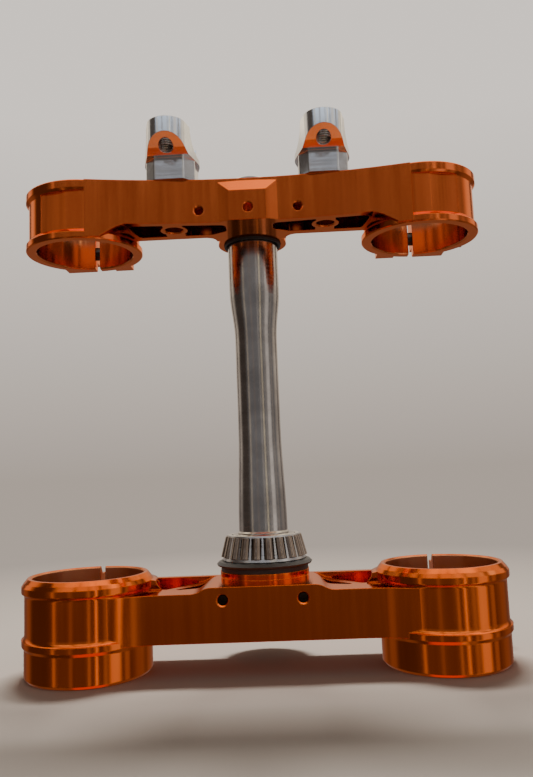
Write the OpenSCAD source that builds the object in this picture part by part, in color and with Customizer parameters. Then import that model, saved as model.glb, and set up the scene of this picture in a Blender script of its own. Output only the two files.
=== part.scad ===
// Motorcycle triple clamp with steering stem, lower head bearing and bar mounts.
// The stem axis is Z, the fork tubes stand ahead of it on the -Y side, and the
// underside of the lower beam is at height 0.

/* [Layout] */
// Distance between the two fork tube axes
fork_spacing = 194; // [186:1:204]
// How far the steering stem sits behind the fork axes
stem_offset = 20; // [19:0.5:26]
// Clear height between the lower rings and the upper rings
clamp_gap = 181.5; // [160:0.5:210]

/* [Lower clamp] */
// Fork tube diameter at the lower clamp
low_bore_d = 60; // [58:0.5:61]
// Wall of the lower rings between their lips
low_wall = 4; // [3.5:0.1:5]
// How far the lip and the rib stand proud of the lower rings
low_lip = 1.5; // [0.8:0.1:2]
// Height of the lower rings
low_ring_h = 52.5; // [48:0.5:60]
// How far the lower rings hang below the beam
low_ring_drop = 18; // [14:0.5:22]
// Height of the lower beam up to its flat land
low_beam_h = 25; // [22:0.5:26]
// Rise of the middle of the beam above the land
low_rise = 3; // [2:0.25:4]
// Half width of the raised middle
low_rise_half = 27; // [24:0.5:30]
// Front wall of the lower beam ahead of the fork axes
low_front = 23; // [20:0.5:26]
// Rear wall of the lower beam behind the fork axes
low_rear = 25; // [24:0.5:28]
// Radius of the sweep from each lower ring into the front wall
low_sweep_r = 58; // [40:1:70]
// Width of the pinch slits in the lower rings
low_slit_w = 3; // [2:0.1:4]
// Depth of the relief pockets below the land
low_pocket_depth = 9; // [6:0.5:12]
// Thickness of the rear wall and of the diagonal ribs
low_rib_t = 4.5; // [3.5:0.25:6]

/* [Stem boss and bearing] */
// Outer diameter of the boss that carries the stem
boss_d = 51; // [48:0.5:53]
// Height of the boss above the land of the beam
boss_rise = 6.3; // [5.5:0.1:8]
// Bore of the head bearing
bearing_bore_d = 30; // [29:0.5:31]
// Width of the head bearing's inner race
bearing_w = 17; // [16:0.5:19]
// Number of tapered rollers
roller_count = 20; // [16:1:21]
// Height of the shoulder that the inner race sits on
seal_h = 3.3; // [2.8:0.1:4]
// Outer diameter of the lower dust seal's lip
seal_lip_d = 55; // [54:0.5:58]

/* [Steering stem] */
// Diameter of the stem inside the lower clamp
stem_press_d = 32; // [31:0.25:34]
// Diameter of the stem at its waist
stem_waist_d = 25; // [23:0.25:27]
// Length of the upper journal below the top clamp
stem_journal = 44; // [38:1:50]
// Bore of the stem
stem_bore_d = 17; // [14:0.5:19]
// Diameter of the thread for the stem nut
stem_thread_d = 20; // [18:0.5:22]

/* [Top clamp] */
// Fork tube diameter at the top clamp
top_bore_d = 54; // [52:0.5:56]
// Wall of the upper rings between their lips
top_wall = 4.3; // [3.6:0.1:5]
// How far the lips stand proud of the upper rings
top_lip = 1.7; // [1:0.1:2.2]
// Height of the upper rings
top_ring_h = 33; // [30:0.5:38]
// Height of the walls, the boss rims and the stem collar
top_wall_h = 24.9; // [21:0.1:27]
// How far the middle of the front wall is set back from the fronts of the rings
top_waist = 10.5; // [8:0.25:12]
// Thickness of the top plate
top_plate = 5; // [4:0.25:7]
// Thickness of the front wall
top_front_t = 4.5; // [3.5:0.25:6]
// Thickness of the rear wall
top_rear_t = 5; // [4:0.25:6]
// Rear wall behind the fork axes
top_rear = 2.5; // [2:0.5:6]
// Outer diameter of the stem collar
collar_d = 41; // [40:0.5:44]
// Width of the pinch slits in the top clamp
top_slit_w = 2.8; // [2:0.1:3.6]

/* [Nose block on the front wall] */
// How far the nose block stands ahead of the front wall
nose_t = 3.2; // [2.5:0.1:5]
// Half width of the nose block at its face
nose_face_half = 10.2; // [9:0.1:12]
// Half width of the nose block at the wall
nose_base_half = 16.4; // [14:0.1:18]
// Height of the nose block's face
nose_face_h = 16.9; // [14:0.1:18]

/* [Small holes] */
// Distance between the two holes in the lower front wall
low_hole_spacing = 42; // [38:0.5:46]
// Thread diameter of the holes in the lower front wall
low_hole_d = 5; // [4:0.5:6]
// Distance between the two holes in the top front wall
top_hole_spacing = 54.6; // [50:0.2:60]
// Thread diameter of the holes in the top front wall
top_hole_d = 4.5; // [4:0.25:5]
// Thread diameter of the hole in the nose block
nose_hole_d = 5; // [4:0.5:6]

/* [Bar mounts] */
// Distance between the two bar mounts
mount_spacing = 85.5; // [82:0.5:92]
// Bar mount axis ahead of the stem axis
mount_ahead = 32.5; // [31:0.5:34]
// Handlebar diameter
bar_d = 28.6; // [26:0.1:30]
// Height of the bar mounts
mount_h = 29; // [28:0.5:36]
// Distance between the two cap screw holes of a bar mount
cap_spacing = 44; // [42:0.5:48]
// Cap screw thread diameter
cap_d = 8; // [6:0.5:8]
// Width of a bar mount at its middle
mount_w = 31; // [29:0.5:33]
// Width of a bar mount at its ends
mount_end_w = 21.2; // [19:0.2:23]
// Thickness of the noses of a bar mount
mount_nose_t = 8.6; // [7:0.2:10]
// Diameter of the bolt that holds a bar mount
mount_bolt_d = 10; // [8:0.5:10]

/* [Pinch bolts] */
// Pinch bolt diameter
pinch_d = 8; // [6:0.5:8]
// Distance between the two pinch bolts of a lower ring
low_pinch_pitch = 20; // [17:0.5:22]
// Distance between the two pinch bolts of an upper ring
top_pinch_pitch = 13.5; // [13.5:0.25:15]

/* [Hidden] */
$fn = 96;
eps = 0.01;
edge = 0.75;
orange = [0.86, 0.36, 0.08];
steel = [0.68, 0.69, 0.71];
silver = [0.82, 0.83, 0.85];
dark = [0.16, 0.16, 0.17];

fork_y = -stem_offset;
fork_x = fork_spacing / 2;

// Lower clamp levels
low_bore_r = low_bore_d / 2;
low_ring_r = low_bore_r + low_wall;
low_bottom = -low_ring_drop;
low_top = low_ring_h - low_ring_drop;
raised_z = low_beam_h + low_rise;
boss_top = low_beam_h + boss_rise;
race_seat = boss_top + seal_h;

// Top clamp levels
top_bore_r = top_bore_d / 2;
top_ring_r = top_bore_r + top_wall;
top_lip_r = top_ring_r + top_lip;
top_bottom = low_top + clamp_gap;
top_z = top_bottom + top_ring_h;
rim_z = top_z - top_wall_h;
top_hole_z = rim_z + 7.2;
plate_z = top_z - top_plate;
front_y = fork_y - top_lip_r;
waist_y = front_y + top_waist;
waist_r = (fork_x * fork_x + top_waist * top_waist) / (2 * top_waist) - top_lip_r - 5;
wall_end = 8.4;

// Pinch bolts
pinch_r = pinch_d / 2;
pinch_head_r = pinch_r * 1.625;
pinch_head_h = pinch_d;
pinch_clear = 0.3;
lug_in = 21;
lug_out = 25;
lug_wall = 1.2;
low_pinch_y = low_bore_r + lug_wall + pinch_r + pinch_clear;
top_pinch_y = top_bore_r + lug_wall + pinch_r + pinch_clear;
lug_back = pinch_head_r + 1;
low_pinch_z = low_top - 12.6;
top_pinch_z = top_bottom + 11.2;

// Bar mounts
mount_x = mount_spacing / 2;
mount_y = -mount_ahead;
cap_r = cap_d / 2;
bar_r = bar_d / 2;
bar_z = mount_h + 0.5;
mount_bolt_r = mount_bolt_d / 2;
mount_boss_r = 7.6;
mount_head_r = mount_bolt_r * 1.6;
mount_head_h = 6.5;

// Stem pinch bolt, nut and upper seal
stem_ear_half = pinch_d * 1.9;
stem_seat = pinch_d * 1.3;
stem_pinch_y = bearing_bore_d / 2 + lug_wall + pinch_r + pinch_clear;
upper_seal_d = bearing_bore_d + 4;
upper_seal_h = 4.2;
washer_t = 2;
nut_h = stem_thread_d * 0.55;
nut_across = stem_thread_d * 1.5;
nut_flange_h = stem_thread_d * 0.125;

// Bearing, measured along its cone
cone_angle = 13;
roller_low_r = 2.75;
roller_top_r = 2.4;
roller_len = 11.6;
roller_gap = 0.06;
race_lip_h = 3.6;
roller_z = race_seat + race_lip_h + 0.25;
pitch_low_r = 22.3;
cage_t = 1.2;

function arc(c, r, a0, a1, n = 8) =
  [for (i = [0 : n]) c + r * [cos(a0 + (a1 - a0) * i / n), sin(a0 + (a1 - a0) * i / n)]];
function unit(v) = v / norm(v);
function corner_arc(a, b, c, r, n = 5) =
  let (u = unit(a - b), v = unit(c - b), half = acos(u * v) / 2)
  let (m = b + unit(u + v) * r / sin(half))
  let (p = b + u * r / tan(half) - m, q = b + v * r / tan(half) - m)
  let (a0 = atan2(p[1], p[0]), turn = ((atan2(q[1], q[0]) - a0 + 540) % 360) - 180)
  [for (i = [0 : n]) m + r * [cos(a0 + turn * i / n), sin(a0 + turn * i / n)]];
function rounded(pts, r) =
  let (k = len(pts))
  [for (i = [0 : k - 1]) each corner_arc(pts[(i + k - 1) % k], pts[i], pts[(i + 1) % k], r)];

module both_sides() {
  children();
  mirror([1, 0, 0]) children();
}

module at_fork() {
  both_sides() translate([fork_x, fork_y, 0]) children();
}

// A bolt along -X whose head rests at x = 0, with a hexagon socket in its head
module cap_bolt(d, head_r, head_h, length) {
  socket = d * 0.75 / cos(30);
  difference() {
    union() {
      rotate([0, 90, 0]) cylinder(h = head_h - edge, r = head_r);
      translate([head_h - edge, 0, 0]) rotate([0, 90, 0])
        cylinder(h = edge, r1 = head_r, r2 = head_r - edge);
      translate([-length, 0, 0]) rotate([0, 90, 0]) cylinder(h = length + eps, d = d);
    }
    translate([head_h * 0.45, 0, 0]) rotate([0, 90, 0])
      cylinder(h = head_h, d = socket, $fn = 6);
  }
}

// Clearance for a pinch bolt: a plain hole, a seat for the head and a threaded far half
module pinch_hole(length, seat) {
  translate([-length - 1, 0, 0]) rotate([0, 90, 0]) cylinder(h = length + 2, d = pinch_d + 0.1);
  rotate([0, 90, 0]) cylinder(h = seat, r = pinch_head_r + 0.6);
}

// Outline of the two ears that a pair of pinch bolts draws together
module ear_outline(ring_r, pinch_y) {
  back = pinch_y + lug_back;
  polygon([[-lug_in + 8, 0], [-lug_in, pinch_y - lug_back], [-lug_in, back - 3],
    [-lug_in + 3, back], [lug_out - 3, back], [lug_out, back - 3],
    [lug_out, pinch_y - lug_back], [lug_out - 8, 0]]);
}

// Lower clamp
module low_ring_section() {
  rib_r = low_ring_r + low_lip;
  skirt_r = low_ring_r + 0.3;
  polygon(concat(
    [[low_bore_r + edge, low_bottom], [skirt_r - 1.3, low_bottom],
     [skirt_r, low_bottom + 1.5], [skirt_r, -2.2], [rib_r, -0.4], [rib_r, 2.2]],
    arc([low_ring_r + 3.2, 5.4], 3.2, -120, -180, 5),
    arc([low_ring_r + 2, low_top - 9.6], 2, 180, 110, 5),
    [[rib_r, low_top - 7.2], [rib_r, low_top - 4.2], [rib_r - 1.3, low_top - 2.2],
     [rib_r - 3.2, low_top], [low_bore_r + edge, low_top],
     [low_bore_r, low_top - edge], [low_bore_r, low_bottom + edge]]));
}

// Concave sweep from a lower ring into the front wall
sweep_reach = low_ring_r + low_sweep_r;
sweep_drop = low_front + low_sweep_r;
sweep_run = sqrt(sweep_reach * sweep_reach - sweep_drop * sweep_drop);

module low_sweep() {
  touch = (low_ring_r - 0.4) / sweep_reach;
  translate([fork_x, fork_y]) difference() {
    polygon([[0, 0], [-sweep_run * touch, -sweep_drop * touch], [-sweep_run, -low_front],
      [-sweep_run - 1, -low_front], [-sweep_run - 1, 0]]);
    translate([-sweep_run, -sweep_drop]) circle(r = low_sweep_r, $fn = 240);
  }
}

module low_outline() {
  translate([-fork_x, fork_y]) circle(r = low_ring_r);
  translate([fork_x, fork_y]) circle(r = low_ring_r);
  low_sweep();
  mirror([1, 0]) low_sweep();
  reach = fork_x - low_ring_r + 8;
  front_half = fork_x - sweep_run;
  translate([-front_half, fork_y - low_front]) square([2 * front_half, low_front + 1]);
  translate([-reach, fork_y]) square([2 * reach, low_rear]);
  circle(d = boss_d);
}

// Side profile of the raised middle, with an S-shaped step at each end
module rise_profile() {
  half_step = low_rise / 2;
  run = 5.5;
  bend = (run * run + half_step * half_step) / (2 * half_step);
  swing = asin(run / bend);
  side = concat(
    arc([low_rise_half + 2 * run, low_beam_h + bend], bend, -90, -90 - swing, 5),
    arc([low_rise_half, raised_z - bend], bend, 90 - swing, 90, 5));
  polygon(concat([[0, low_beam_h - 2], [low_rise_half + 2 * run, low_beam_h - 2]], side,
    [[0, raised_z]]));
}

module low_rise_block() {
  translate([0, fork_y + low_rear, 0]) rotate([90, 0, 0])
    linear_extrude(height = low_front + low_rear) rise_profile();
}

// Ramp that ties the rear wall to the inner side of a ring
module low_gusset() {
  outer = low_ring_r + 10;
  height = low_top - low_beam_h - 3.5;
  intersection() {
    rotate_extrude() polygon(concat([[low_ring_r - 1, low_beam_h - 1], [outer, low_beam_h - 1]],
      arc([outer, low_beam_h + height], height, -90, -170, 7), [[low_ring_r - 1, low_top - 3.5]]));
    translate([-outer - 1, -4, 0]) cube([outer, low_rear + 4, low_top]);
  }
}

// Crescent recess beside a ring, with a sloping end under the lip
module low_scallop() {
  deep = 5;
  start = -10;
  intersection() {
    translate([0, 0, low_beam_h - deep]) linear_extrude(height = deep + 1) difference() {
      circle(r = low_ring_r + 8);
      circle(r = low_ring_r + 0.1);
      translate([-sweep_run, -sweep_drop]) circle(r = low_sweep_r + 1.5, $fn = 240);
      translate([-2 * low_ring_r, -9]) square(4 * low_ring_r);
    }
    rotate([90, 0, 0]) linear_extrude(height = 2 * low_ring_r) polygon([[start, low_beam_h + 1],
      [start - 14, low_beam_h - deep], [-2 * low_ring_r, low_beam_h - deep],
      [-2 * low_ring_r, low_beam_h + 1]]);
  }
}

// Triangular pocket between the front wall, the diagonal rib and the boss
function leaf_points() = [[51, fork_y - 8.5], [34, fork_y - 3], [31, fork_y + 13.5]];
function rear_pocket_points() =
  [[34.5, fork_y + low_rear - low_rib_t], [63, fork_y + low_rear - low_rib_t],
   [63, fork_y + 6], [58.5, fork_y - 3.5], [50.5 + low_rib_t * 0.6, fork_y - 4.5]];

module low_pockets() {
  floor_z = low_beam_h - low_pocket_depth;
  depth = low_pocket_depth + low_rise + 2;
  slope = 5;
  wall_y = fork_y + low_rear - low_rib_t;
  difference() {
    translate([0, 0, floor_z]) linear_extrude(height = depth) difference() {
      union() {
        polygon(rounded(rear_pocket_points(), 2));
        polygon(rounded(leaf_points(), 1.5));
      }
      circle(r = boss_d / 2 + 3.5);
    }
    translate([0, wall_y, floor_z]) rotate([90, 0, 90])
      linear_extrude(height = fork_x) polygon([[-slope, -1], [1, -1], [1, slope + 1], [0, slope]]);
  }
}

module lower_clamp() {
  ear_h = low_pinch_pitch + 2 * pinch_head_r + 3;
  color(orange) difference() {
    union() {
      linear_extrude(height = low_beam_h) low_outline();
      intersection() {
        linear_extrude(height = raised_z) low_outline();
        both_sides() low_rise_block();
      }
      translate([0, fork_y + low_rear - low_rib_t, low_beam_h / 2]) both_sides()
        cube([fork_x - low_ring_r + 8, low_rib_t, low_beam_h / 2 + low_rise]);
      cylinder(h = boss_top, d = boss_d);
      cylinder(h = race_seat, d = bearing_bore_d + 8.6);
      at_fork() {
        rotate_extrude() low_ring_section();
        low_gusset();
        translate([0, 0, low_pinch_z + pinch_head_r + 1.5 - ear_h])
          linear_extrude(height = ear_h) ear_outline(low_ring_r, low_pinch_y);
      }
    }
    both_sides() low_pockets();
    at_fork() {
      translate([0, 0, low_bottom - 1]) cylinder(h = low_ring_h + 2, d = low_bore_d);
      low_scallop();
      translate([-low_slit_w / 2, 0, low_bottom - 1])
        cube([low_slit_w, low_pinch_y + lug_back + 1, low_ring_h + 2]);
      for (i = [0 : 1])
        translate([lug_out, low_pinch_y, low_pinch_z - i * low_pinch_pitch])
          pinch_hole(lug_out + lug_in, 30);
    }
    translate([0, 0, -1]) cylinder(h = race_seat + 2, d = stem_press_d);
    translate([0, 0, -eps]) cylinder(h = 1, d1 = stem_press_d + 2, d2 = stem_press_d);
    front_holes(low_hole_spacing, low_hole_d, fork_y - low_front, low_top - 13.2);
  }
}

// Two blind threaded holes with countersunk mouths in a wall that faces -Y
module front_holes(spacing, d, wall_y, z) {
  both_sides() translate([spacing / 2, wall_y, z]) rotate([-90, 0, 0]) {
    cylinder(h = 12, d = d);
    translate([0, 0, -eps]) cylinder(h = 0.8, d1 = d + 1.6, d2 = d);
  }
}

// Top clamp
module top_ring_section() {
  polygon([[top_bore_r + edge, top_bottom], [top_lip_r - 0.6, top_bottom],
    [top_lip_r, top_bottom + 0.6], [top_lip_r, top_bottom + 3.6],
    [top_ring_r, top_bottom + 5.5], [top_ring_r, top_z - 6.2], [top_lip_r, top_z - 4.5],
    [top_lip_r, top_z - 0.6], [top_lip_r - 0.6, top_z], [top_bore_r + edge, top_z],
    [top_bore_r, top_z - edge], [top_bore_r, top_bottom + edge]]);
}

module waist_arc(r) {
  translate([0, waist_y - waist_r]) circle(r = r, $fn = 400);
}

module top_outline() {
  inner = fork_x - wall_end;
  translate([-fork_x, fork_y]) circle(r = top_ring_r - 1);
  translate([fork_x, fork_y]) circle(r = top_ring_r - 1);
  difference() {
    translate([-inner, front_y - 1]) square([2 * inner, top_lip_r + top_rear + 1]);
    waist_arc(waist_r);
    both_sides() translate([fork_x, fork_y]) circle(r = top_bore_r + edge);
  }
  circle(d = collar_d);
  both_sides() difference() {
    translate([0, fork_y + top_rear - 1]) square([collar_d / 2 + 6, 8]);
    translate([collar_d / 2 + 6.5, fork_y + top_rear + 6.5]) circle(r = 6.5);
    translate([0, fork_y + top_rear + 7]) square([collar_d, 9]);
  }
}

// What lies below the rims: the walls fall to the lips of the rings at their ends
module below_rims() {
  low_end = fork_x - top_ring_r + 2.3;
  side = [[low_end, rim_z], [low_end + 5, rim_z - 1.9], [low_end + 12.5, top_bottom + 1.5],
    [low_end + 12.5, top_bottom - 1]];
  translate([0, fork_x / 2, 0]) rotate([90, 0, 0]) linear_extrude(height = fork_x * 2)
    polygon(concat(side, [for (i = [3 : -1 : 0]) [-side[i][0], side[i][1]]]));
}

// Hollow side of the top clamp, open downwards
function inner_wall_y(x) = waist_y - x * x / (2 * waist_r) + top_front_t + 0.4;

module top_pocket() {
  start = nose_face_half + 3;
  end = fork_x - top_ring_r + 2;
  rear = fork_y + top_rear - top_rear_t;
  web = mount_boss_r - 2.2;
  difference() {
    polygon(rounded([[start, inner_wall_y(start)], [end, inner_wall_y(end)], [end - 3, rear],
      [start + 9, rear], [start, rear - 5]], 3.5));
    circle(d = collar_d + 6);
    translate([fork_x, fork_y]) circle(r = top_ring_r + 1.5);
    translate([mount_x, mount_y]) circle(r = mount_boss_r);
    translate([mount_x - web, 2 * mount_y]) square([2 * web, -2 * mount_y]);
  }
}

module nose_block() {
  face_y = waist_y - nose_t;
  intersection() {
    linear_extrude(height = top_z) polygon([[-nose_base_half, waist_y + 2],
      [-nose_base_half, waist_y - 0.3], [-nose_face_half, face_y], [nose_face_half, face_y],
      [nose_base_half, waist_y - 0.3], [nose_base_half, waist_y + 2]]);
    translate([-nose_base_half, 0, 0]) rotate([90, 0, 90])
      linear_extrude(height = 2 * nose_base_half) polygon([[waist_y + 2, rim_z],
        [face_y, rim_z], [face_y, rim_z + nose_face_h],
        [waist_y, top_z - 1.4], [waist_y + 2, top_z - 1.4]]);
  }
}

// Flats that are cut into the front of an upper ring between its lips
module ring_flats() {
  flat = top_ring_r - 0.7;
  turn = 17;
  polygon([[-wall_end, -flat - 20], [-wall_end, -flat], [2, -flat],
    [turn, -sqrt(top_ring_r * top_ring_r - turn * turn) + 0.4], [turn + 14, -flat - 20]]);
}

// Small flats on the lower lip of an upper ring, under its ears
module lip_flats() {
  back = top_bore_r + 7.5;
  translate([-lug_in, back - 14]) square([11, 14]);
  translate([2, back - 14]) square([lug_in - 3, 14]);
}

module top_clamp() {
  ear_low = top_pinch_z - pinch_head_r + 0.4;
  ear_h = top_pinch_pitch + 2 * pinch_head_r - 1;
  stem_back = stem_pinch_y + lug_back;
  color(orange) difference() {
    union() {
      difference() {
        translate([0, 0, top_bottom + 0.8]) linear_extrude(height = top_ring_h - 0.8) top_outline();
        below_rims();
        translate([0, 0, rim_z - 1]) linear_extrude(height = plate_z - rim_z + 1)
          both_sides() top_pocket();
      }
      at_fork() {
        rotate_extrude() top_ring_section();
        translate([0, 0, ear_low]) linear_extrude(height = ear_h)
          ear_outline(top_ring_r, top_pinch_y);
        translate([0, 0, top_bottom + 0.3]) linear_extrude(height = ear_low - top_bottom)
          lip_flats();
      }
      nose_block();
      translate([0, 0, rim_z + 4]) linear_extrude(height = top_wall_h - 8)
        polygon([[-14, 0], [-stem_ear_half, 8], [-stem_ear_half, stem_back],
          [stem_ear_half, stem_back], [stem_ear_half, 8], [14, 0]]);
    }
    at_fork() {
      translate([0, 0, top_bottom - 1]) cylinder(h = top_ring_h + 2, d = top_bore_d);
      translate([0, 0, top_bottom + 5.5]) linear_extrude(height = top_ring_h - 11.2) ring_flats();
      translate([-top_slit_w / 2, 0, top_bottom - 1])
        cube([top_slit_w, top_pinch_y + lug_back + 1, top_ring_h + 2]);
      for (i = [0 : 1])
        translate([lug_out, top_pinch_y, top_pinch_z + i * top_pinch_pitch])
          pinch_hole(lug_out + lug_in, 30);
    }
    translate([0, 0, rim_z - 1]) cylinder(h = top_wall_h + 2, d = bearing_bore_d + 0.06);
    translate([0, 0, rim_z - 1]) cylinder(h = 4, d = upper_seal_d + 0.4);
    translate([-top_slit_w / 2, 0, rim_z - 1])
      cube([top_slit_w, stem_back + 1, top_wall_h + 2]);
    translate([stem_seat, stem_pinch_y, rim_z + top_wall_h / 2])
      pinch_hole(stem_seat + stem_ear_half, 20);
    both_sides() translate([mount_x, mount_y, rim_z - 1])
      cylinder(h = top_wall_h + 2, d = mount_bolt_d + 0.1);
    both_sides() translate([mount_x, mount_y, rim_z - eps])
      cylinder(h = 0.7, d1 = mount_bolt_d + 1.4, d2 = mount_bolt_d);
    front_holes(top_hole_spacing, top_hole_d, waist_y - 1, top_hole_z);
    translate([0, waist_y - nose_t, top_hole_z]) rotate([-90, 0, 0]) {
      cylinder(h = 8.6, d = nose_hole_d);
      translate([0, 0, -eps]) cylinder(h = 0.6, d1 = nose_hole_d + 1.2, d2 = nose_hole_d);
    }
  }
}

module upper_seal_ring() {
  color(dark) translate([0, 0, rim_z + 2.8 - upper_seal_h]) difference() {
    cylinder(h = upper_seal_h, d = upper_seal_d);
    translate([0, 0, -1]) cylinder(h = 2 * upper_seal_h, d = bearing_bore_d + 0.3);
    translate([0, 0, -eps]) cylinder(h = 1, r1 = bearing_bore_d / 2 + 1.2, r2 = bearing_bore_d / 2 + 0.15);
  }
}

// Steering stem
module steering_stem() {
  bore_r = bearing_bore_d / 2;
  waist_r = stem_waist_d / 2;
  thread_r = stem_thread_d / 2;
  race_top = race_seat + bearing_w;
  journal = top_bottom - stem_journal + 24;
  waist_low = race_top + 62;
  waist_high = journal - 30;
  color(steel) rotate_extrude() polygon(concat(
    [[stem_bore_d / 2, 0], [stem_press_d / 2 - 1, 0], [stem_press_d / 2 - 0.02, 1],
     [stem_press_d / 2 - 0.02, race_seat - 0.3], [bore_r - 0.02, race_seat - 0.3],
     [bore_r - 0.02, race_top + 0.6], [bore_r - 0.9, race_top + 1.5]],
    [for (i = [0 : 6]) [bore_r - 0.9 - (bore_r - 0.9 - waist_r) * (1 - cos(i * 30)) / 2,
      race_top + 3 + (waist_low - race_top - 3) * i / 6]],
    [for (i = [0 : 6]) [waist_r + (bore_r - waist_r) * (1 - cos(i * 30)) / 2,
      waist_high + (journal - waist_high) * i / 6]],
    [[bore_r, top_z - 1.5], [bore_r - 1, top_z - 0.5], [thread_r + 1, top_z - 0.5],
     [thread_r, top_z + 0.5], [thread_r, top_z + 14], [thread_r - 1, top_z + 15],
     [stem_bore_d / 2 - 2, top_z + 15], [stem_bore_d / 2 - 2, top_z - 14],
     [stem_bore_d / 2, top_z - 18]]));
}

module stem_nut_washer() {
  color(steel) translate([0, 0, top_z]) difference() {
    cylinder(h = washer_t, d = bearing_bore_d + 7);
    translate([0, 0, -1]) cylinder(h = washer_t + 2, d = stem_thread_d + 3);
  }
}

module stem_nut() {
  flange_d = nut_across + 5;
  bevel = nut_h * 0.14;
  color(silver) translate([0, 0, top_z + washer_t]) difference() {
    union() {
      cylinder(h = nut_flange_h, d = flange_d);
      intersection() {
        cylinder(h = nut_h, d = nut_across / cos(30), $fn = 6);
        union() {
          cylinder(h = nut_h - bevel, d = flange_d);
          translate([0, 0, nut_h - bevel])
            cylinder(h = bevel, d1 = nut_across + 3.4, d2 = nut_across - 0.4);
        }
      }
    }
    translate([0, 0, -1]) cylinder(h = nut_h + 3, d = stem_thread_d + 0.1);
  }
}

// Lower dust seal: a band round the shoulder and a lip above it
module lower_dust_seal() {
  seat_r = (bearing_bore_d + 8.6) / 2 + 0.15;
  lip_r = seal_lip_d / 2;
  cage_low = roller_z - 0.9;
  color(dark) rotate_extrude() polygon([[seat_r, boss_top], [boss_d / 2 - 0.4, boss_top],
    [boss_d / 2 - 0.4, boss_top + 2.4], [lip_r - 0.6, boss_top + 2.9], [lip_r, boss_top + 3.9],
    [lip_r - 1.4, cage_low - 1], [lip_r - 3.4, cage_low - 0.5], [lip_r - 4, cage_low - 1.2],
    [lip_r - 4.6, race_seat + 1.2], [seat_r + 1.6, race_seat + 1.2], [seat_r + 1.6, boss_top + 2],
    [seat_r, boss_top + 2]]);
}

// Bearing geometry: radius of the roller axes at a height above their large ends
function pitch_r(h) = pitch_low_r - h * tan(cone_angle);
function roller_r(h) = roller_low_r - (roller_low_r - roller_top_r) * h / (roller_len * cos(cone_angle));
function track_r(h) = pitch_r(h) - roller_r(h) / cos(cone_angle) - roller_gap;

module bearing_inner_race() {
  run = roller_len * cos(cone_angle) + 0.9;
  lip = 1.7;
  color(steel) rotate_extrude() polygon([[bearing_bore_d / 2 + 0.8, race_seat],
    [track_r(0) + lip - 0.8, race_seat], [track_r(0) + lip, race_seat + 0.8],
    [track_r(0) + lip, race_seat + race_lip_h - 0.9], [track_r(0) + 0.3, race_seat + race_lip_h - 0.6],
    [track_r(0), race_seat + race_lip_h], [track_r(run), roller_z + run],
    [track_r(run) + 1, roller_z + run + 0.3], [track_r(run) + 1, race_seat + bearing_w - 0.5],
    [track_r(run) + 0.5, race_seat + bearing_w], [bearing_bore_d / 2 + 0.8, race_seat + bearing_w],
    [bearing_bore_d / 2, race_seat + bearing_w - 0.8], [bearing_bore_d / 2, race_seat + 0.8]]);
}

module each_roller() {
  for (i = [0 : roller_count - 1])
    rotate([0, 0, (i + 0.5) * 360 / roller_count])
      translate([pitch_low_r, 0, roller_z + 0.2]) rotate([0, -cone_angle, 0]) children();
}

module bearing_rollers() {
  color(dark) each_roller() cylinder(h = roller_len, r1 = roller_low_r, r2 = roller_top_r, $fn = 24);
}

// Conical cage with one window for each roller
module bearing_cage() {
  low = -1.1;
  high = roller_len * cos(cone_angle) + 1.5;
  out = 1.4;
  window = roller_low_r * 2 - 0.6;
  color(silver) difference() {
    rotate_extrude() polygon([[pitch_r(low) + out - cage_t - 1.6, roller_z + low],
      [pitch_r(low) + out, roller_z + low], [pitch_r(high) + out, roller_z + high],
      [pitch_r(high) + out - cage_t - 1.2, roller_z + high],
      [pitch_r(high) + out - cage_t - 1.2, roller_z + high - 1],
      [pitch_r(high - 1) + out - cage_t, roller_z + high - 1],
      [pitch_r(low + 1) + out - cage_t, roller_z + low + 1],
      [pitch_r(low) + out - cage_t - 1.6, roller_z + low + 1]]);
    each_roller() translate([-4, 0, -0.15])
      linear_extrude(height = roller_len + 0.3) polygon([[0, -window / 2 - 0.45],
        [10, -window / 2 - 0.45], [10, window / 2 + 0.45], [0, window / 2 + 0.45]]);
  }
}

// Bar mounts
module tangent_strip(r_mid, r_end, reach) {
  tilt = asin((r_mid - r_end) / reach);
  mid = r_mid * [cos(tilt), sin(tilt)];
  end = r_end * [cos(tilt), sin(tilt)] + [0, reach];
  polygon([mid, end, [-end[0], end[1]], [-mid[0], mid[1]]]);
}

module mount_outline() {
  end_r = mount_end_w / 2;
  reach = cap_spacing / 2 - 3.5;
  circle(r = mount_w / 2);
  for (a = [0, 180]) rotate(a) {
    translate([0, reach]) circle(r = end_r);
    tangent_strip(mount_w / 2, end_r, reach);
  }
}

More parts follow.
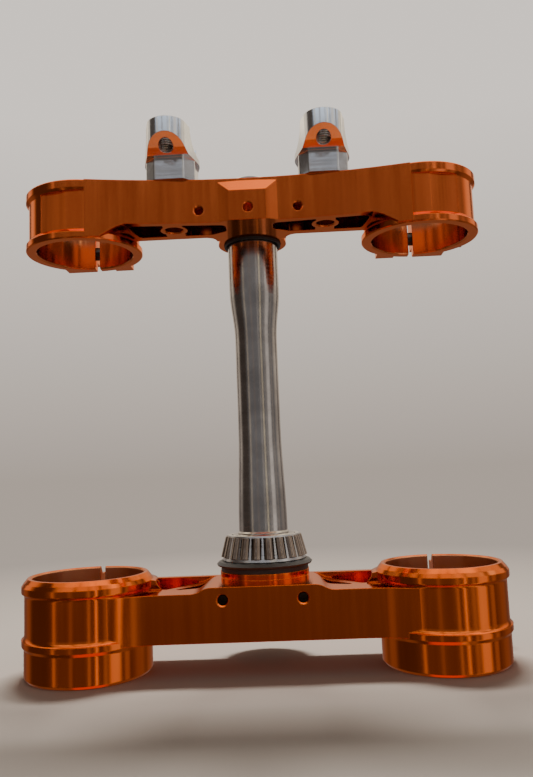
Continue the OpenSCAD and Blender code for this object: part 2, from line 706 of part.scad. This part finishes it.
module bar_mount() {
  half = cap_spacing / 2 - 3.5 + mount_end_w / 2;
  post_half = 14;
  nose_z = mount_h - mount_nose_t;
  ledge_z = 12.4;
  side = [[half, mount_h], [half, nose_z], [half - 7.5, nose_z - 5.7], [post_half + 2.8, ledge_z],
    [post_half + 2.2, ledge_z - 2.8], [post_half + 0.8, ledge_z - 3.9], [post_half, ledge_z - 3.9],
    [post_half, 0]];
  translate([0, 0, top_z]) difference() {
    intersection() {
      linear_extrude(height = mount_h) mount_outline();
      union() {
        translate([-mount_w, 0, 0]) rotate([90, 0, 90]) linear_extrude(height = 2 * mount_w)
          polygon(concat([for (p = side) [-p[0], p[1]]],
            [for (i = [len(side) - 1 : -1 : 0]) side[i]]));
      }
      union() {
        linear_extrude(height = ledge_z) polygon(rounded([[-mount_w / 2 + 1.7, -8],
          [-8, -post_half], [8, -post_half], [mount_w / 2 - 1.7, -8], [mount_w / 2 - 1.7, 8],
          [8, post_half], [-8, post_half], [-mount_w / 2 + 1.7, 8]], 2));
        translate([0, 0, ledge_z - eps]) linear_extrude(height = mount_h) square(100, center = true);
      }
    }
    translate([-mount_w, 0, bar_z]) rotate([0, 90, 0]) cylinder(h = 2 * mount_w, r = bar_r);
    for (s = [1, -1]) translate([0, s * cap_spacing / 2, 0]) {
      translate([0, 0, -1]) cylinder(h = mount_h + 2, d = cap_d);
      translate([0, 0, mount_h - 0.6]) cylinder(h = 1, d1 = cap_d, d2 = cap_d + 2);
    }
    translate([0, 0, -1]) cylinder(h = mount_h, d = mount_bolt_d + 0.6);
    translate([0, 0, bar_z - bar_r - mount_head_h - 0.8])
      cylinder(h = mount_h, r = mount_head_r + 0.4);
  }
}

module left_bar_mount() {
  color(silver) translate([-mount_x, mount_y, 0]) bar_mount();
}

module right_bar_mount() {
  color(silver) translate([mount_x, mount_y, 0]) bar_mount();
}

module bar_mount_bolts() {
  seat = top_z + bar_z - bar_r - mount_head_h - 0.8;
  length = seat - rim_z - 4;
  color(dark) both_sides() translate([mount_x, mount_y, seat]) rotate([0, -90, 0])
    cap_bolt(mount_bolt_d, mount_head_r, mount_head_h, length);
}

// Pinch bolts
module lower_pinch_bolts() {
  color(dark) at_fork() for (i = [0 : 1])
    translate([lug_out, low_pinch_y, low_pinch_z - i * low_pinch_pitch])
      cap_bolt(pinch_d, pinch_head_r, pinch_head_h, lug_out + lug_in - 2);
}

module top_pinch_bolts() {
  color(dark) at_fork() for (i = [0 : 1])
    translate([lug_out, top_pinch_y, top_pinch_z + i * top_pinch_pitch])
      cap_bolt(pinch_d, pinch_head_r, pinch_head_h, lug_out + lug_in - 2);
}

module stem_pinch_bolt() {
  color(dark) translate([stem_seat, stem_pinch_y, rim_z + top_wall_h / 2])
    cap_bolt(pinch_d, pinch_head_r, pinch_head_h, stem_seat + stem_ear_half - 2);
}

lower_clamp();
top_clamp();
steering_stem();
stem_nut();
stem_nut_washer();
upper_seal_ring();
lower_dust_seal();
bearing_inner_race();
bearing_cage();
bearing_rollers();
left_bar_mount();
right_bar_mount();
bar_mount_bolts();
top_pinch_bolts();
lower_pinch_bolts();
stem_pinch_bolt();
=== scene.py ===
import math
import bpy
import bmesh
from mathutils import Matrix, Vector


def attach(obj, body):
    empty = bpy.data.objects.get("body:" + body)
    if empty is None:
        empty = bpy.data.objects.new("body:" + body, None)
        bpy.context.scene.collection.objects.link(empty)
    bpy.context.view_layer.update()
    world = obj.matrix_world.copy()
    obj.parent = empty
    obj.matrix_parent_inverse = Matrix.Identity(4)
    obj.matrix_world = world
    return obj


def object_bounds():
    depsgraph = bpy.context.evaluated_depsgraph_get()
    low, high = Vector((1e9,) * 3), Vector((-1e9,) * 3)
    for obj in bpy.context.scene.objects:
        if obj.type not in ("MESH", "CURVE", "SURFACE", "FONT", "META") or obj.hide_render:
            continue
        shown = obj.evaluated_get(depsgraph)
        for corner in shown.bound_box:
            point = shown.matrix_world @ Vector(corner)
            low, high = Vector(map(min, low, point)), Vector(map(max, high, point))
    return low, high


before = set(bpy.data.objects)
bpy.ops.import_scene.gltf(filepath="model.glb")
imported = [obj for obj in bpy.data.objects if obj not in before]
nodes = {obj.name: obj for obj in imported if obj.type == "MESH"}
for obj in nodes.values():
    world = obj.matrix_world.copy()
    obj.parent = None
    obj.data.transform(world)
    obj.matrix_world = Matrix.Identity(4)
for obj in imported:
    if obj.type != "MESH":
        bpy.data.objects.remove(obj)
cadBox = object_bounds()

scene = bpy.context.scene
print("frame loaded:", len(nodes), "CAD nodes")


# Small helpers
def newMaterial(name):
    mat = bpy.data.materials.new(name)
    mat.use_nodes = True
    tree = mat.node_tree
    return mat, tree, tree.nodes["Principled BSDF"]


def addNode(tree, kind, **values):
    node = tree.nodes.new(kind)
    for key, value in values.items():
        setattr(node, key, value)
    return node


def objectCoords(tree, scale=(1, 1, 1)):
    coords = addNode(tree, "ShaderNodeTexCoord")
    mapping = addNode(tree, "ShaderNodeMapping")
    mapping.inputs["Scale"].default_value = scale
    tree.links.new(coords.outputs["Object"], mapping.inputs["Vector"])
    return mapping.outputs["Vector"]


def noise(tree, vector, scale, detail, roughness=0.5):
    node = addNode(tree, "ShaderNodeTexNoise")
    node.inputs["Scale"].default_value = scale
    node.inputs["Detail"].default_value = detail
    node.inputs["Roughness"].default_value = roughness
    tree.links.new(vector, node.inputs["Vector"])
    return node.outputs["Fac"]


def mapRange(tree, value, low, high, outLow, outHigh):
    node = addNode(tree, "ShaderNodeMapRange")
    for name, number in (("From Min", low), ("From Max", high), ("To Min", outLow), ("To Max", outHigh)):
        node.inputs[name].default_value = number
    tree.links.new(value, node.inputs["Value"])
    return node.outputs["Result"]


def blendColors(tree, factor, colorA, colorB):
    node = addNode(tree, "ShaderNodeMix", data_type="RGBA")
    tree.links.new(factor, node.inputs[0])
    for socket, color in ((node.inputs[6], colorA), (node.inputs[7], colorB)):
        if isinstance(color, tuple):
            socket.default_value = (*color, 1)
        else:
            tree.links.new(color, socket)
    return node.outputs[2]


def addMath(tree, operation, a, b=0):
    node = addNode(tree, "ShaderNodeMath", operation=operation)
    for socket, value in zip(node.inputs, (a, b)):
        if isinstance(value, (int, float)):
            socket.default_value = value
        else:
            tree.links.new(value, socket)
    return node.outputs[0]


def distanceFrom(tree, first, second):
    squares = [addMath(tree, "MULTIPLY", value, value) for value in (first, second)]
    return addMath(tree, "SQRT", addMath(tree, "ADD", *squares))


def bumpFrom(tree, height, look):
    bump = addNode(tree, "ShaderNodeBump")
    bump.inputs["Strength"].default_value = look["bump"]
    bump.inputs["Distance"].default_value = look["depth"]
    tree.links.new(height, bump.inputs["Height"])
    if look["edge"]:  # worn, slightly rounded edges
        bevel = addNode(tree, "ShaderNodeBevel", samples=4)
        bevel.inputs["Radius"].default_value = look["edge"]
        tree.links.new(bevel.outputs["Normal"], bump.inputs["Normal"])
    return bump.outputs["Normal"]


def paint(name, mat):
    mesh = nodes[name].data
    mesh.materials.clear()
    mesh.materials.append(mat)


def finishPiece(bm, name, mat, body):
    bmesh.ops.recalc_face_normals(bm, faces=bm.faces)
    mesh = bpy.data.meshes.new(name)
    bm.to_mesh(mesh)
    bm.free()
    piece = bpy.data.objects.new(name, mesh)
    scene.collection.objects.link(piece)
    mesh.materials.append(mat)
    for face in mesh.polygons:
        face.use_smooth = True
    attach(piece, body)
    return piece


# Camera
cameraSet = {
    "place": (0.01643, -0.42208, 0.08609),
    "turn": (96.73, 2.279, 1.809),
    "lens": 22.065,
    "sensorHeight": 24.0,
    "clipStart": 0.01,
}
cameraData = bpy.data.cameras.new("photoCamera")
cameraData.sensor_fit = "VERTICAL"
cameraData.sensor_height = cameraSet["sensorHeight"]
cameraData.lens = cameraSet["lens"]
cameraData.clip_start = cameraSet["clipStart"]
camera = bpy.data.objects.new("photoCamera", cameraData)
camera.location = cameraSet["place"]
camera.rotation_euler = [math.radians(a) for a in cameraSet["turn"]]
scene.collection.objects.link(camera)
scene.camera = camera
print("camera set")

# Orange anodising that both clamps share; streaks run up the walls
anodising = {
    "forkX": 0.097,
    "forkY": -0.020,
    "boreFade": (0.0001, 0.0006),
    # holeFade and frontFade outline the painted shade in the small front holes
    "holeFade": (0.00005, 0.0002),
    "frontFade": (-0.026, -0.025),
    "streakStretch": 0.035,
    "streakScale": 260,
    "cloudScale": 28,
    "roughness": (0.10, 0.19),
    "grazing": (1.0, 0.77, 0.63),
    "coatRoughness": 0.1,
    "coatIor": 1.6,
    "lineStretch": 0.02,
    "lineScale": 420,
    "bump": 0.06,
    "depth": 0.00004,
    "edge": 0.0006,
}


# The fork bores have their own tone; the small front holes are painted darker, as painted shade inside
# them
def anodisedHoleShadeMaterial(name, clamp):
    look = {**anodising, **clamp}
    mat, tree, shader = newMaterial(name)
    alongWall = objectCoords(tree, scale=(1, 1, look["streakStretch"]))
    streaks = noise(tree, alongWall, look["streakScale"], 4.0, 0.6)
    clouds = noise(tree, objectCoords(tree), look["cloudScale"], 2.0)
    blend = mapRange(tree, addMath(tree, "ADD", streaks, clouds), 0.7, 1.3, 0, 1)
    dyed = blendColors(tree, blend, look["deep"], look["light"])

    position = addNode(tree, "ShaderNodeSeparateXYZ")
    tree.links.new(objectCoords(tree), position.inputs[0])
    sideways, depth, height = position.outputs
    outward = addMath(tree, "ABSOLUTE", sideways)
    boreReach = distanceFrom(tree, addMath(tree, "SUBTRACT", outward, look["forkX"]),
                             addMath(tree, "SUBTRACT", depth, look["forkY"]))
    boreEdges = [look["boreRadius"] + fade for fade in look["boreFade"]]
    inBore = mapRange(tree, boreReach, *boreEdges, 1, 0)
    holeReach = distanceFrom(tree, addMath(tree, "SUBTRACT", outward, look["holeX"]),
                             addMath(tree, "SUBTRACT", height, look["holeZ"]))
    holeEdges = [look["holeRadius"] + fade for fade in look["holeFade"]]
    holeShadeMask = mapRange(tree, holeReach, *holeEdges, 1, 0)
    inFront = mapRange(tree, depth, *look["frontFade"], 1, 0)
    toneWithHoleShade = blendColors(tree, inBore, dyed, look["bore"])
    # painted shade: a darker colour fills the small front holes
    toneWithHoleShade = blendColors(tree, addMath(tree, "MULTIPLY", holeShadeMask, inFront), toneWithHoleShade, look["hole"])
    tree.links.new(toneWithHoleShade, shader.inputs["Base Color"])

    polish = mapRange(tree, streaks, 0.3, 0.7, *look["roughness"])
    matte = addMath(tree, "MULTIPLY", inBore, look["boreRoughness"])
    tree.links.new(addMath(tree, "ADD", polish, matte), shader.inputs["Roughness"])
    shader.inputs["Metallic"].default_value = 1.0
    shader.inputs["Coat Weight"].default_value = look["coat"]
    shader.inputs["Coat Roughness"].default_value = look["coatRoughness"]
    shader.inputs["Coat IOR"].default_value = look["coatIor"]
    shader.inputs["Specular Tint"].default_value = (*look["grazing"], 1)
    lines = noise(tree, objectCoords(tree, scale=(1, 1, look["lineStretch"])), look["lineScale"], 2.0)
    tree.links.new(bumpFrom(tree, lines, look), shader.inputs["Normal"])
    return mat


lowerClamp = {
    "deep": (0.78, 0.145, 0.022),
    "light": (0.88, 0.185, 0.032),
    "bore": (0.66, 0.31, 0.18),
    "boreRadius": 0.030,
    "boreRoughness": 0.22,
    # painted shade inside the small front holes
    "hole": (0.075, 0.058, 0.050),
    "holeX": 0.021,
    "holeZ": 0.0213,
    "holeRadius": 0.0025,
    "coat": 0.03,
}
paint("lower_clamp", anodisedHoleShadeMaterial("lowerClampAnodisedHoleShade", lowerClamp))

topClamp = {
    "deep": (0.78, 0.165, 0.045),
    "light": (0.88, 0.205, 0.058),
    "bore": (0.72, 0.27, 0.13),
    "boreRadius": 0.027,
    "boreRoughness": 0.0,
    # painted shade inside the small front holes
    "hole": (0.40, 0.085, 0.03),
    "holeX": 0.0273,
    "holeZ": 0.2313,
    "holeRadius": 0.00225,
    "coat": 0.06,
}
paint("top_clamp", anodisedHoleShadeMaterial("topClampAnodisedHoleShade", topClamp))
print("clamps finished")

# Turned steel, with fine rings from the lathe
turning = {
    "lineStretch": 0.02,
    "lineScale": 900,
    "cloudScale": 60,
    "bump": 0.12,
    "depth": 0.00002,
    "edge": 0.0002,
}


def turnedMaterial(name, look):
    mat, tree, shader = newMaterial(name)
    aroundAxis = (turning["lineStretch"], turning["lineStretch"], 1)
    lines = noise(tree, objectCoords(tree, scale=aroundAxis), turning["lineScale"], 2.0)
    clouds = noise(tree, objectCoords(tree), turning["cloudScale"], 3.0)
    tone = blendColors(tree, mapRange(tree, clouds, 0.35, 0.65, 0, 1), look["dark"], look["base"])
    tree.links.new(tone, shader.inputs["Base Color"])
    tree.links.new(mapRange(tree, lines, 0.3, 0.7, *look["roughness"]), shader.inputs["Roughness"])
    shader.inputs["Metallic"].default_value = 1.0
    tree.links.new(bumpFrom(tree, lines, turning), shader.inputs["Normal"])
    return mat


steeringStem = {
    "base": (0.56, 0.545, 0.54),
    "dark": (0.40, 0.385, 0.38),
    "roughness": (0.14, 0.24),
}
paint("steering_stem", turnedMaterial("stemSteel", steeringStem))

stemNutWasher = {
    "base": (0.6, 0.6, 0.6),
    "dark": (0.5, 0.5, 0.5),
    "roughness": (0.2, 0.3),
}
paint("stem_nut_washer", turnedMaterial("washerSteel", stemNutWasher))

innerRace = {
    "base": (0.62, 0.61, 0.6),
    "dark": (0.5, 0.5, 0.5),
    "roughness": (0.08, 0.16),
}
paint("bearing_inner_race", turnedMaterial("raceSteel", innerRace))

bearingRollers = {
    "base": (0.44, 0.37, 0.32),
    "dark": (0.30, 0.24, 0.20),
    "roughness": (0.1, 0.2),
}
paint("bearing_rollers", turnedMaterial("rollerSteel", bearingRollers))

bearingCage = {
    "base": (0.74, 0.75, 0.77),
    "dark": (0.60, 0.61, 0.63),
    "roughness": (0.24, 0.36),
}
paint("bearing_cage", turnedMaterial("cageSteel", bearingCage))
print("steel finished")

# Milled aluminium
barMount = {
    "base": (0.82, 0.86, 0.91),
    "dark": (0.72, 0.76, 0.81),
    "roughness": (0.13, 0.2),
    "markStretch": 0.04,
    "markScale": 700,
    "cloudScale": 90,
    "bump": 0.025,
    "depth": 0.00001,
    "edge": 0.0004,
}
stemNut = dict(barMount)  # same finish, change it here


def milledMaterial(name, look):
    mat, tree, shader = newMaterial(name)
    marks = noise(tree, objectCoords(tree, scale=(look["markStretch"], 1, 1)), look["markScale"], 3.0)
    clouds = noise(tree, objectCoords(tree), look["cloudScale"], 3.0)
    tone = blendColors(tree, mapRange(tree, clouds, 0.35, 0.65, 0, 1), look["dark"], look["base"])
    tree.links.new(tone, shader.inputs["Base Color"])
    tree.links.new(mapRange(tree, marks, 0.3, 0.7, *look["roughness"]), shader.inputs["Roughness"])
    shader.inputs["Metallic"].default_value = 1.0
    tree.links.new(bumpFrom(tree, marks, look), shader.inputs["Normal"])
    return mat


mountAluminium = milledMaterial("barMountAluminium", barMount)
paint("left_bar_mount", mountAluminium)
paint("right_bar_mount", mountAluminium)
paint("stem_nut", milledMaterial("stemNutAluminium", stemNut))
print("bar mounts finished")

# Steel coils in the threaded cap holes, one piece for each mount
threadInsert = {
    "holeX": 0.04275,
    "holeY": (-0.0545, -0.0105),
    "low": 0.2630,
    "high": 0.2764,
    "wireRadius": 0.00036,
    "wireSides": 8,
    "coilRadius": 0.00362,
    "pitch": 0.00125,
    "stepsPerTurn": 28,
    "mergeDistance": 0.000002,
    "base": (0.60, 0.57, 0.55),
    "dark": (0.42, 0.38, 0.36),
    "roughness": (0.14, 0.26),
}
insertSteel = turnedMaterial("insertSteel", threadInsert)


def threadInserts(name, side):
    coils = bmesh.new()
    turns = int((threadInsert["high"] - threadInsert["low"]) / threadInsert["pitch"])
    steps = turns * threadInsert["stepsPerTurn"]
    for y in threadInsert["holeY"]:
        centre = Vector((side * threadInsert["holeX"], y, threadInsert["low"]))
        wire = bmesh.ops.create_circle(coils, cap_ends=True, segments=threadInsert["wireSides"],
                                       radius=threadInsert["wireRadius"])["verts"]
        bmesh.ops.rotate(coils, verts=wire, cent=(0, 0, 0), matrix=Matrix.Rotation(math.pi / 2, 3, "X"))
        bmesh.ops.translate(coils, verts=wire, vec=centre + Vector((threadInsert["coilRadius"], 0, 0)))
        face = list({f for v in wire for f in v.link_faces})
        start = bmesh.ops.duplicate(coils, geom=face)["geom"]  # the first face stays and closes the end
        bmesh.ops.spin(coils, geom=start, cent=centre, axis=(0, 0, 1), angle=turns * 2 * math.pi,
                       steps=steps, dvec=(0, 0, turns * threadInsert["pitch"] / steps))
    bmesh.ops.remove_doubles(coils, verts=coils.verts, dist=threadInsert["mergeDistance"])
    return finishPiece(coils, name, insertSteel, "clamp_assembly")


threadInserts("left_thread_inserts", -1)
threadInserts("right_thread_inserts", 1)
print("thread inserts made")

# Rubber seals
sealRubber = {
    "grainScale": 900,
    "roughness": (0.42, 0.6),
    "bump": 0.15,
    "depth": 0.00005,
    "edge": 0,
}


def rubberMaterial(name, look):
    mat, tree, shader = newMaterial(name)
    grain = noise(tree, objectCoords(tree), sealRubber["grainScale"], 4.0)
    tone = blendColors(tree, mapRange(tree, grain, 0.35, 0.65, 0, 1), look["dark"], look["base"])
    tree.links.new(tone, shader.inputs["Base Color"])
    tree.links.new(mapRange(tree, grain, 0.3, 0.7, *sealRubber["roughness"]), shader.inputs["Roughness"])
    tree.links.new(bumpFrom(tree, grain, sealRubber), shader.inputs["Normal"])
    return mat


dustSeal = {
    "base": (0.055, 0.055, 0.058),
    "dark": (0.035, 0.035, 0.037),
}
paint("lower_dust_seal", rubberMaterial("dustSealRubber", dustSeal))

upperSeal = {
    "base": (0.03, 0.03, 0.032),
    "dark": (0.018, 0.018, 0.02),
}
paint("upper_seal_ring", rubberMaterial("upperSealRubber", upperSeal))

# Black oxide on the bolts
boltOxide = {
    "base": (0.10, 0.10, 0.105),
    "dark": (0.05, 0.05, 0.052),
    "roughness": (0.28, 0.42),
    "metallic": 0.9,
    "grainScale": 500,
    "bump": 0.1,
    "depth": 0.00004,
    "edge": 0.0003,
}


def oxideMaterial(name, look):
    mat, tree, shader = newMaterial(name)
    grain = noise(tree, objectCoords(tree), look["grainScale"], 4.0)
    tone = blendColors(tree, mapRange(tree, grain, 0.3, 0.7, 0, 1), look["dark"], look["base"])
    tree.links.new(tone, shader.inputs["Base Color"])
    tree.links.new(mapRange(tree, grain, 0.3, 0.7, *look["roughness"]), shader.inputs["Roughness"])
    shader.inputs["Metallic"].default_value = look["metallic"]
    tree.links.new(bumpFrom(tree, grain, look), shader.inputs["Normal"])
    return mat


boltBlack = oxideMaterial("boltBlackOxide", boltOxide)
for name in ("bar_mount_bolts", "top_pinch_bolts", "lower_pinch_bolts", "stem_pinch_bolt"):
    paint(name, boltBlack)
print("seals and bolts finished")

# Studio floor, which fades into the backdrop colour with distance
studio = {
    "floorColor": (0.47, 0.415, 0.365),
    "floorRoughness": 0.75,
    "floorGloss": 0.2,
    "floorReach": 12.0,
    "floorGap": 0.0002,
    "fade": (0.2, 0.6),
    "skyLow": (0.47, 0.400, 0.345),
    "skyHigh": (1.0, 0.915, 0.835),
    "skyRise": 0.45,
    "fillColor": (0.86, 0.80, 0.745),
    "fillStrength": 0.24,
}
floorHeight = cadBox[0][2] - studio["floorGap"]
floorMesh = bmesh.new()
bmesh.ops.create_grid(floorMesh, x_segments=1, y_segments=1, size=studio["floorReach"])
bmesh.ops.translate(floorMesh, verts=floorMesh.verts, vec=(0, 0, floorHeight))
floorData = bpy.data.meshes.new("studioFloor")
floorMesh.to_mesh(floorData)
floorMesh.free()
floor = bpy.data.objects.new("studioFloor", floorData)
scene.collection.objects.link(floor)

floorMat, floorTree, floorShader = newMaterial("floorPaper")
floorShader.inputs["Base Color"].default_value = (*studio["floorColor"], 1)
floorShader.inputs["Roughness"].default_value = studio["floorRoughness"]
floorShader.inputs["Specular IOR Level"].default_value = studio["floorGloss"]
fromStem = addNode(floorTree, "ShaderNodeVectorMath", operation="LENGTH")
floorTree.links.new(objectCoords(floorTree), fromStem.inputs[0])
distant = mapRange(floorTree, fromStem.outputs["Value"], *studio["fade"], 0, 1)
horizon = addNode(floorTree, "ShaderNodeEmission")
horizon.inputs["Color"].default_value = (*studio["skyLow"], 1)
paperMix = addNode(floorTree, "ShaderNodeMixShader")
floorTree.links.new(distant, paperMix.inputs[0])
floorTree.links.new(floorShader.outputs[0], paperMix.inputs[1])
floorTree.links.new(horizon.outputs[0], paperMix.inputs[2])
floorTree.links.new(paperMix.outputs[0], floorTree.nodes["Material Output"].inputs["Surface"])
floorData.materials.append(floorMat)
floor.visible_glossy = False

# What the metal mirrors, by direction only. Front and rear are tones by height, -1 down to 1 up,
# turn is where one gives way to the other, and strips are upright bands. Azimuths are in degrees
# from straight ahead. Beneath is what the undersides of the mounts' noses mirror.
reflections = {
    "front": ((-0.9, (0.08, 0.060, 0.048)), (-0.16, (0.128, 0.096, 0.078)),
              (-0.06, (0.19, 0.18, 0.18)), (0.26, (0.22, 0.205, 0.20)), (0.36, (0.228, 0.198, 0.180)),
              (0.405, (0.21, 0.18, 0.163)), (0.42, (0.150, 0.122, 0.104)), (0.455, (0.20, 0.18, 0.17)),
              (0.475, (1.45, 1.60, 1.80)), (0.66, (0.88, 0.90, 0.94)), (0.84, (0.92, 0.68, 0.38))),
    "rear": ((-0.6, (0.22, 0.185, 0.165)), (-0.12, (0.25, 0.205, 0.18)), (0.04, (0.45, 0.38, 0.32)),
             (0.30, (0.90, 0.74, 0.57)), (0.8, (0.82, 0.68, 0.52))),
    "turn": (96, 112),
    "strips": ((-108, -57, (0.075, 0.058, 0.048)), (-51, -46, (0.62, 0.51, 0.38)),
               (-20, -14.5, (0.27, 0.22, 0.19)), (12.5, 17, (0.46, 0.41, 0.37)),
               (25.5, 30, (1.1, 0.90, 0.60)), (40, 46, (0.36, 0.32, 0.29)),
               (51, 72, (0.78, 0.69, 0.61)), (80, 90, (0.34, 0.29, 0.25)),
               (128, 142, (0.16, 0.13, 0.115)), (-142, -128, (0.16, 0.13, 0.115))),
    "stripSoftness": (0.75, 1.2),
    "beneath": (0.82, 0.155, 0.030),
    "beneathHeight": (-0.968, -0.952),
}
world = bpy.data.worlds.new("studioWorld")
world.use_nodes = True
scene.world = world
sky = world.node_tree
direction = addNode(sky, "ShaderNodeSeparateXYZ")
sky.links.new(addNode(sky, "ShaderNodeTexCoord").outputs["Generated"], direction.inputs[0])
toRight, toBack, upward = direction.outputs
toFront = addMath(sky, "MULTIPLY", toBack, -1.0)
azimuth = addMath(sky, "ARCTAN2", toRight, toFront)


def heightRamp(stops):
    ramp = addNode(sky, "ShaderNodeValToRGB")
    elements = ramp.color_ramp.elements
    while len(elements) < len(stops):
        elements.new(0.5)
    for element, (height, color) in zip(elements, stops):
        element.position = (height + 1) / 2
        element.color = (*color, 1)
    sky.links.new(mapRange(sky, upward, -1, 1, 0, 1), ramp.inputs[0])
    return ramp.outputs["Color"]


turnEdges = [math.radians(a) for a in reflections["turn"]]
turned = mapRange(sky, addMath(sky, "ABSOLUTE", azimuth), *turnEdges, 0, 1)
glow = blendColors(sky, turned, heightRamp(reflections["front"]), heightRamp(reflections["rear"]))
for first, last, stripColor in reflections["strips"]:
    middle, half = math.radians((first + last) / 2), math.radians((last - first) / 2)
    offset = addMath(sky, "ABSOLUTE", addMath(sky, "SUBTRACT", azimuth, middle))
    stripEdges = [half * softness for softness in reflections["stripSoftness"]]
    glow = blendColors(sky, mapRange(sky, offset, *stripEdges, 1, 0), glow, stripColor)
straightDown = mapRange(sky, upward, *reflections["beneathHeight"], 1, 0)
glow = blendColors(sky, straightDown, glow, reflections["beneath"])

# Reflections see the glow, matt surfaces an even fill, and the camera a plain gradient
lightPath = addNode(sky, "ShaderNodeLightPath")
fill = tuple(c * studio["fillStrength"] for c in studio["fillColor"])
rise = mapRange(sky, upward, 0.0, studio["skyRise"], 0, 1)
seen = blendColors(sky, rise, studio["skyLow"], studio["skyHigh"])
skyColor = blendColors(sky, lightPath.outputs["Is Glossy Ray"], fill, glow)
skyColor = blendColors(sky, lightPath.outputs["Is Camera Ray"], skyColor, seen)
sky.links.new(skyColor, sky.nodes["Background"].inputs["Color"])


def areaLight(name, softbox):
    data = bpy.data.lights.new(name, "AREA")
    data.shape = "RECTANGLE"
    data.size, data.size_y = softbox["size"]
    data.energy = softbox["power"]
    data.color = softbox["color"]
    lamp = bpy.data.objects.new(name, data)
    lamp.location = softbox["place"]
    facing = Vector(softbox["target"]) - Vector(softbox["place"])
    lamp.rotation_euler = facing.to_track_quat("-Z", "Y").to_euler()
    scene.collection.objects.link(lamp)
    return lamp


# Lights the metal from above
overheadSoftbox = {
    "place": (0.0, 0.30, 1.15),
    "target": (0, -0.02, 0.1),
    "size": (2.2, 1.6),
    "power": 8.5,
    "color": (1.0, 0.82, 0.56),
}
metalLamp = areaLight("overheadSoftbox", overheadSoftbox)
metalLamp.visible_diffuse = False

# Throws the soft shadow forward on the floor
backSoftbox = {
    "place": (0.0, 0.38, 1.3),
    "target": (0, -0.1, 0.0),
    "size": (0.5, 0.2),
    "power": 27,
    "color": (1.0, 0.96, 0.91),
}
shadowLamp = areaLight("backSoftbox", backSoftbox)
shadowLamp.visible_glossy = False
print("studio set")
